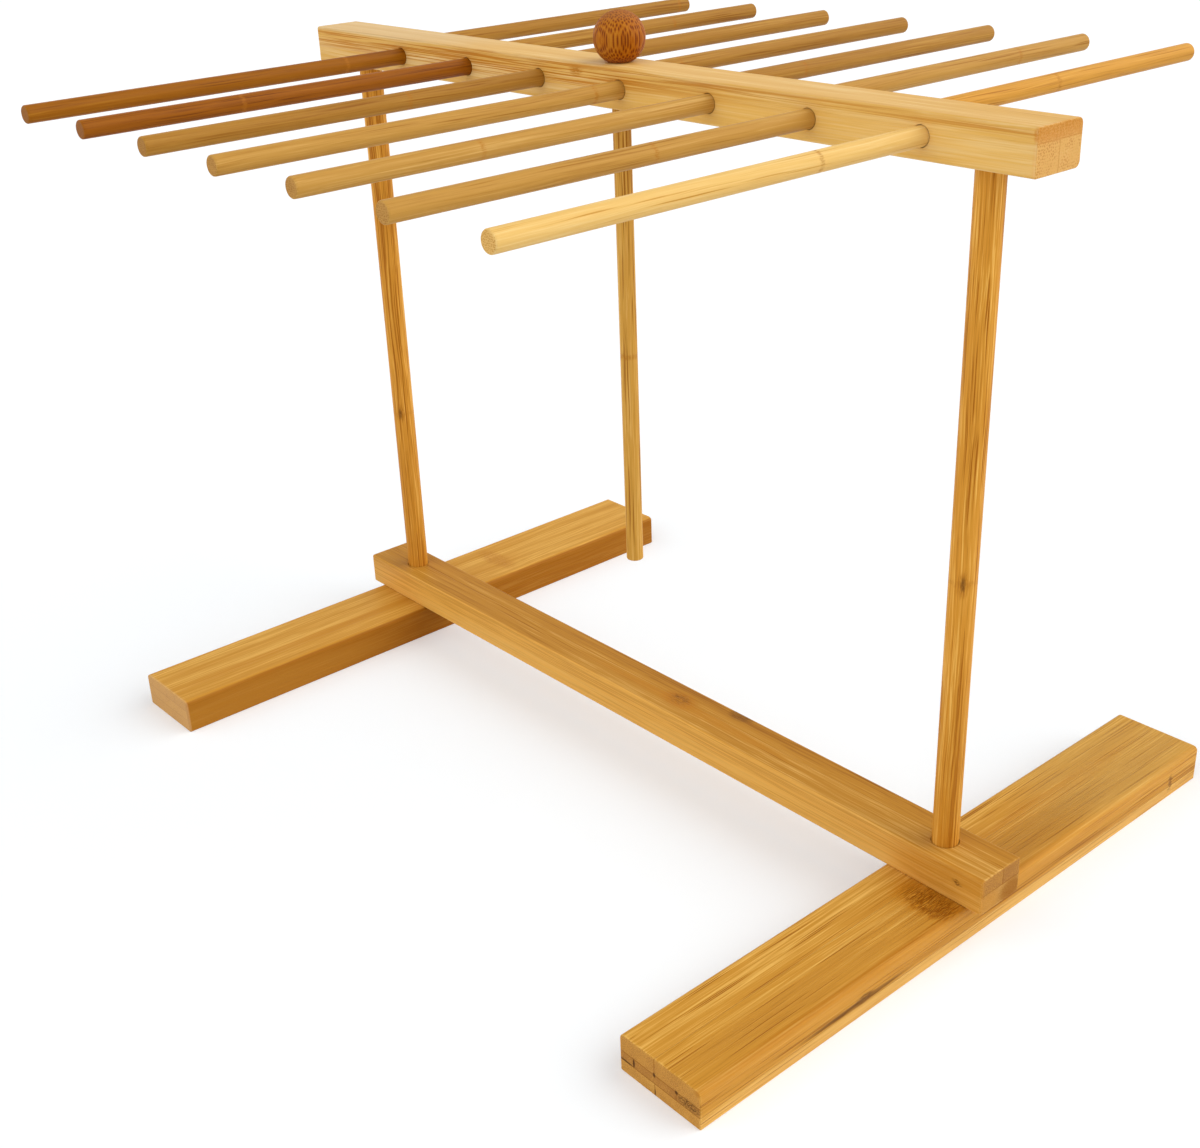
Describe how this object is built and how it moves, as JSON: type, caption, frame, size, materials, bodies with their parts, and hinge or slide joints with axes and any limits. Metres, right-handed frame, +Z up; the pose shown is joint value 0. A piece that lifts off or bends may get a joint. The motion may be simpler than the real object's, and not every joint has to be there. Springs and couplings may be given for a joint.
{
  "type": "pasta drying rack",
  "caption": "Bamboo stand on two flat feet: round posts carry a beam with rods out to both sides, and a ball-topped wand hangs through its middle.",
  "frame": {"origin": "middle of the footprint, on the table", "axes": "+Z up; +X along the stretcher and the top beam; the rods stand out along -Y (front) and +Y (back)"},
  "size_m": [0.467, 0.427, 0.3762],
  "materials": {
    "foot_wood": "satin",
    "stretcher_wood": "satin",
    "post_wood": "satin",
    "beam_wood": "satin",
    "rod_wood": "satin",
    "stick_wood": "satin",
    "ball_wood": "satin"
  },
  "bodies": {
    "base": {"foot_left": "foot_wood", "foot_right": "foot_wood", "stretcher": "stretcher_wood"},
    "posts": {"post_left": "post_wood", "post_right": "post_wood"},
    "top": {"top_beam": "beam_wood"},
    "wand": {"wand_stick": "stick_wood", "wand_ball": "ball_wood"},
    "rod_front_1": {"rod_front_1": "rod_wood"},
    "rod_front_2": {"rod_front_2": "rod_wood"},
    "rod_front_3": {"rod_front_3": "rod_wood"},
    "rod_front_4": {"rod_front_4": "rod_wood"},
    "rod_front_5": {"rod_front_5": "rod_wood"},
    "rod_front_6": {"rod_front_6": "rod_wood"},
    "rod_front_7": {"rod_front_7": "rod_wood"},
    "rod_back_1": {"rod_back_1": "rod_wood"},
    "rod_back_2": {"rod_back_2": "rod_wood"},
    "rod_back_3": {"rod_back_3": "rod_wood"},
    "rod_back_4": {"rod_back_4": "rod_wood"},
    "rod_back_5": {"rod_back_5": "rod_wood"},
    "rod_back_6": {"rod_back_6": "rod_wood"},
    "rod_back_7": {"rod_back_7": "rod_wood"}
  },
  "joints": [
    {"name": "posts_lift", "type": "slide", "parent": "base", "child": "posts", "axis": [0, 0, 1], "range_m": [0, 0.032]},
    {"name": "top_lift", "type": "slide", "parent": "posts", "child": "top", "axis": [0, 0, 1], "range_m": [0, 0.014]},
    {"name": "wand_lift", "type": "slide", "parent": "top", "child": "wand", "axis": [0, 0, 1], "range_m": [0, 0.25]},
    {"name": "rod_front_1_pull", "type": "slide", "parent": "top", "child": "rod_front_1", "axis": [0, -1, 0], "range_m": [0, 0.015]},
    {"name": "rod_front_2_pull", "type": "slide", "parent": "top", "child": "rod_front_2", "axis": [0, -1, 0], "range_m": [0, 0.015]},
    {"name": "rod_front_3_pull", "type": "slide", "parent": "top", "child": "rod_front_3", "axis": [0, -1, 0], "range_m": [0, 0.015]},
    {"name": "rod_front_4_pull", "type": "slide", "parent": "top", "child": "rod_front_4", "axis": [0, -1, 0], "range_m": [0, 0.015]},
    {"name": "rod_front_5_pull", "type": "slide", "parent": "top", "child": "rod_front_5", "axis": [0, -1, 0], "range_m": [0, 0.015]},
    {"name": "rod_front_6_pull", "type": "slide", "parent": "top", "child": "rod_front_6", "axis": [0, -1, 0], "range_m": [0, 0.015]},
    {"name": "rod_front_7_pull", "type": "slide", "parent": "top", "child": "rod_front_7", "axis": [0, -1, 0], "range_m": [0, 0.015]},
    {"name": "rod_back_1_pull", "type": "slide", "parent": "top", "child": "rod_back_1", "axis": [0, 1, 0], "range_m": [0, 0.015]},
    {"name": "rod_back_2_pull", "type": "slide", "parent": "top", "child": "rod_back_2", "axis": [0, 1, 0], "range_m": [0, 0.015]},
    {"name": "rod_back_3_pull", "type": "slide", "parent": "top", "child": "rod_back_3", "axis": [0, 1, 0], "range_m": [0, 0.015]},
    {"name": "rod_back_4_pull", "type": "slide", "parent": "top", "child": "rod_back_4", "axis": [0, 1, 0], "range_m": [0, 0.015]},
    {"name": "rod_back_5_pull", "type": "slide", "parent": "top", "child": "rod_back_5", "axis": [0, 1, 0], "range_m": [0, 0.015]},
    {"name": "rod_back_6_pull", "type": "slide", "parent": "top", "child": "rod_back_6", "axis": [0, 1, 0], "range_m": [0, 0.015]},
    {"name": "rod_back_7_pull", "type": "slide", "parent": "top", "child": "rod_back_7", "axis": [0, 1, 0], "range_m": [0, 0.015]}
  ]
}
